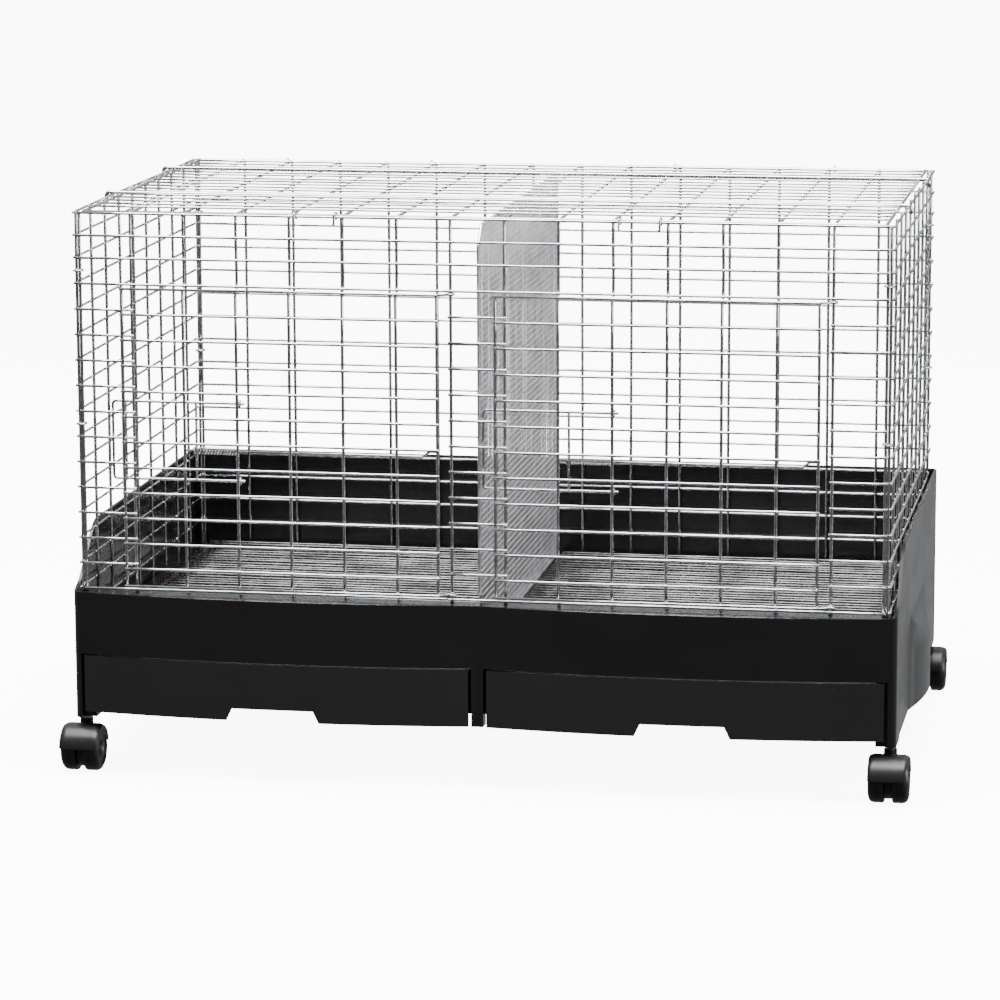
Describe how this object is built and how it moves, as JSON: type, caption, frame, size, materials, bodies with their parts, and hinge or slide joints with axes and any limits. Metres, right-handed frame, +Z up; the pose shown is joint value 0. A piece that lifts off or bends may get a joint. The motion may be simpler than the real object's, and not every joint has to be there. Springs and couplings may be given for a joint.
{
  "type": "wire rabbit cage",
  "caption": "Divided chrome wire rabbit cage with sliding-latch front doors, lift-up roof, wire floors and pull-out trays in a dark moulded base on casters.",
  "frame": {"origin": "on the floor, under the middle of the object's box", "axes": "+X to the object's right seen from the front, +Y to the back, +Z up"},
  "size_m": [0.841, 0.5278, 0.5641],
  "materials": {
    "tub_plastic": "polished moulding with soft satin front",
    "tray_plastic": "satin moulding",
    "caster_plastic": "satin nylon",
    "wheel_plastic": "satin nylon tread",
    "floor_steel": "zinc-bright wire",
    "spring_steel": "bright drawn steel",
    "mesh_wire": "bright fine mesh",
    "chrome_wire": "bright chrome-plated wire"
  },
  "bodies": {
    "base": {"tub_shell": "tub_plastic", "front_panel": "chrome_wire", "back_panel": "chrome_wire", "left_panel": "chrome_wire", "right_panel": "chrome_wire", "corner_hooks": "chrome_wire", "divider_panel": "mesh_wire", "floor_grid_left": "floor_steel", "floor_grid_right": "floor_steel", "caster_sockets": "spring_steel"},
    "door_left": {"door_left": "chrome_wire", "latch_spring_left": "spring_steel"},
    "door_right": {"door_right": "chrome_wire", "latch_spring_right": "spring_steel"},
    "latch_left": {"latch_left": "chrome_wire"},
    "latch_right": {"latch_right": "chrome_wire"},
    "roof": {"roof_panel": "chrome_wire"},
    "roof_clip_left": {"roof_clip_left": "chrome_wire"},
    "roof_clip_right": {"roof_clip_right": "chrome_wire"},
    "tray_left": {"tray_left": "tray_plastic"},
    "tray_right": {"tray_right": "tray_plastic"},
    "caster_front_left": {"caster_hood_front_left": "caster_plastic", "caster_stem_front_left": "spring_steel", "caster_axle_front_left": "spring_steel"},
    "outer_wheel_front_left": {"outer_wheel_front_left": "wheel_plastic"},
    "inner_wheel_front_left": {"inner_wheel_front_left": "wheel_plastic"},
    "caster_front_right": {"caster_hood_front_right": "caster_plastic", "caster_stem_front_right": "spring_steel", "caster_axle_front_right": "spring_steel"},
    "outer_wheel_front_right": {"outer_wheel_front_right": "wheel_plastic"},
    "inner_wheel_front_right": {"inner_wheel_front_right": "wheel_plastic"},
    "caster_rear_left": {"caster_hood_rear_left": "caster_plastic", "caster_stem_rear_left": "spring_steel", "caster_axle_rear_left": "spring_steel"},
    "outer_wheel_rear_left": {"outer_wheel_rear_left": "wheel_plastic"},
    "inner_wheel_rear_left": {"inner_wheel_rear_left": "wheel_plastic"},
    "caster_rear_right": {"caster_hood_rear_right": "caster_plastic", "caster_stem_rear_right": "spring_steel", "caster_axle_rear_right": "spring_steel"},
    "outer_wheel_rear_right": {"outer_wheel_rear_right": "wheel_plastic"},
    "inner_wheel_rear_right": {"inner_wheel_rear_right": "wheel_plastic"}
  },
  "joints": [
    {"name": "door_left_swing", "type": "hinge", "parent": "base", "child": "door_left", "pos_m": [-0.02637, -0.239, 0.327], "axis": [0, 0, 1], "range_deg": [0, 110]},
    {"name": "latch_left_slide", "type": "slide", "parent": "door_left", "child": "latch_left", "axis": [1, 0, 0], "range_m": [0, 0.028], "stiffness_N_per_m": 80, "springref_m": -0.012, "deforming": ["latch_spring_left"]},
    {"name": "door_right_swing", "type": "hinge", "parent": "base", "child": "door_right", "pos_m": [0.34277, -0.239, 0.327], "axis": [0, 0, 1], "range_deg": [0, 110]},
    {"name": "latch_right_slide", "type": "slide", "parent": "door_right", "child": "latch_right", "axis": [1, 0, 0], "range_m": [0, 0.028], "stiffness_N_per_m": 80, "springref_m": -0.012, "deforming": ["latch_spring_right"]},
    {"name": "roof_swing", "type": "hinge", "parent": "base", "child": "roof", "pos_m": [0, 0.24155, 0.5584], "axis": [-1, 0, 0], "range_deg": [0, 100]},
    {"name": "roof_clip_left_swing", "type": "hinge", "parent": "roof", "child": "roof_clip_left", "pos_m": [-0.1585, -0.2343, 0.5589], "axis": [-1, 0, 0], "range_deg": [0, 120]},
    {"name": "roof_clip_right_swing", "type": "hinge", "parent": "roof", "child": "roof_clip_right", "pos_m": [0.1575, -0.2343, 0.5589], "axis": [-1, 0, 0], "range_deg": [0, 120]},
    {"name": "tray_left_slide", "type": "slide", "parent": "base", "child": "tray_left", "axis": [0, -1, 0], "range_m": [0, 0.38]},
    {"name": "tray_right_slide", "type": "slide", "parent": "base", "child": "tray_right", "axis": [0, -1, 0], "range_m": [0, 0.38]},
    {"name": "caster_front_left_swivel", "type": "hinge", "parent": "base", "child": "caster_front_left", "pos_m": [-0.401, -0.2258, 0.05], "axis": [0, 0, 1], "continuous": true},
    {"name": "outer_wheel_front_left_spin", "type": "hinge", "parent": "caster_front_left", "child": "outer_wheel_front_left", "pos_m": [-0.401, -0.2386, 0.022], "axis": [1, 0, 0], "continuous": true},
    {"name": "inner_wheel_front_left_spin", "type": "hinge", "parent": "caster_front_left", "child": "inner_wheel_front_left", "pos_m": [-0.401, -0.2386, 0.022], "axis": [1, 0, 0], "continuous": true},
    {"name": "caster_front_right_swivel", "type": "hinge", "parent": "base", "child": "caster_front_right", "pos_m": [0.401, -0.2258, 0.05], "axis": [0, 0, 1], "continuous": true},
    {"name": "outer_wheel_front_right_spin", "type": "hinge", "parent": "caster_front_right", "child": "outer_wheel_front_right", "pos_m": [0.401, -0.2386, 0.022], "axis": [1, 0, 0], "continuous": true},
    {"name": "inner_wheel_front_right_spin", "type": "hinge", "parent": "caster_front_right", "child": "inner_wheel_front_right", "pos_m": [0.401, -0.2386, 0.022], "axis": [1, 0, 0], "continuous": true},
    {"name": "caster_rear_left_swivel", "type": "hinge", "parent": "base", "child": "caster_rear_left", "pos_m": [-0.401, 0.2258, 0.05], "axis": [0, 0, 1], "continuous": true},
    {"name": "outer_wheel_rear_left_spin", "type": "hinge", "parent": "caster_rear_left", "child": "outer_wheel_rear_left", "pos_m": [-0.401, 0.2386, 0.022], "axis": [1, 0, 0], "continuous": true},
    {"name": "inner_wheel_rear_left_spin", "type": "hinge", "parent": "caster_rear_left", "child": "inner_wheel_rear_left", "pos_m": [-0.401, 0.2386, 0.022], "axis": [1, 0, 0], "continuous": true},
    {"name": "caster_rear_right_swivel", "type": "hinge", "parent": "base", "child": "caster_rear_right", "pos_m": [0.401, 0.2258, 0.05], "axis": [0, 0, 1], "continuous": true},
    {"name": "outer_wheel_rear_right_spin", "type": "hinge", "parent": "caster_rear_right", "child": "outer_wheel_rear_right", "pos_m": [0.401, 0.2386, 0.022], "axis": [1, 0, 0], "continuous": true},
    {"name": "inner_wheel_rear_right_spin", "type": "hinge", "parent": "caster_rear_right", "child": "inner_wheel_rear_right", "pos_m": [0.401, 0.2386, 0.022], "axis": [1, 0, 0], "continuous": true}
  ]
}
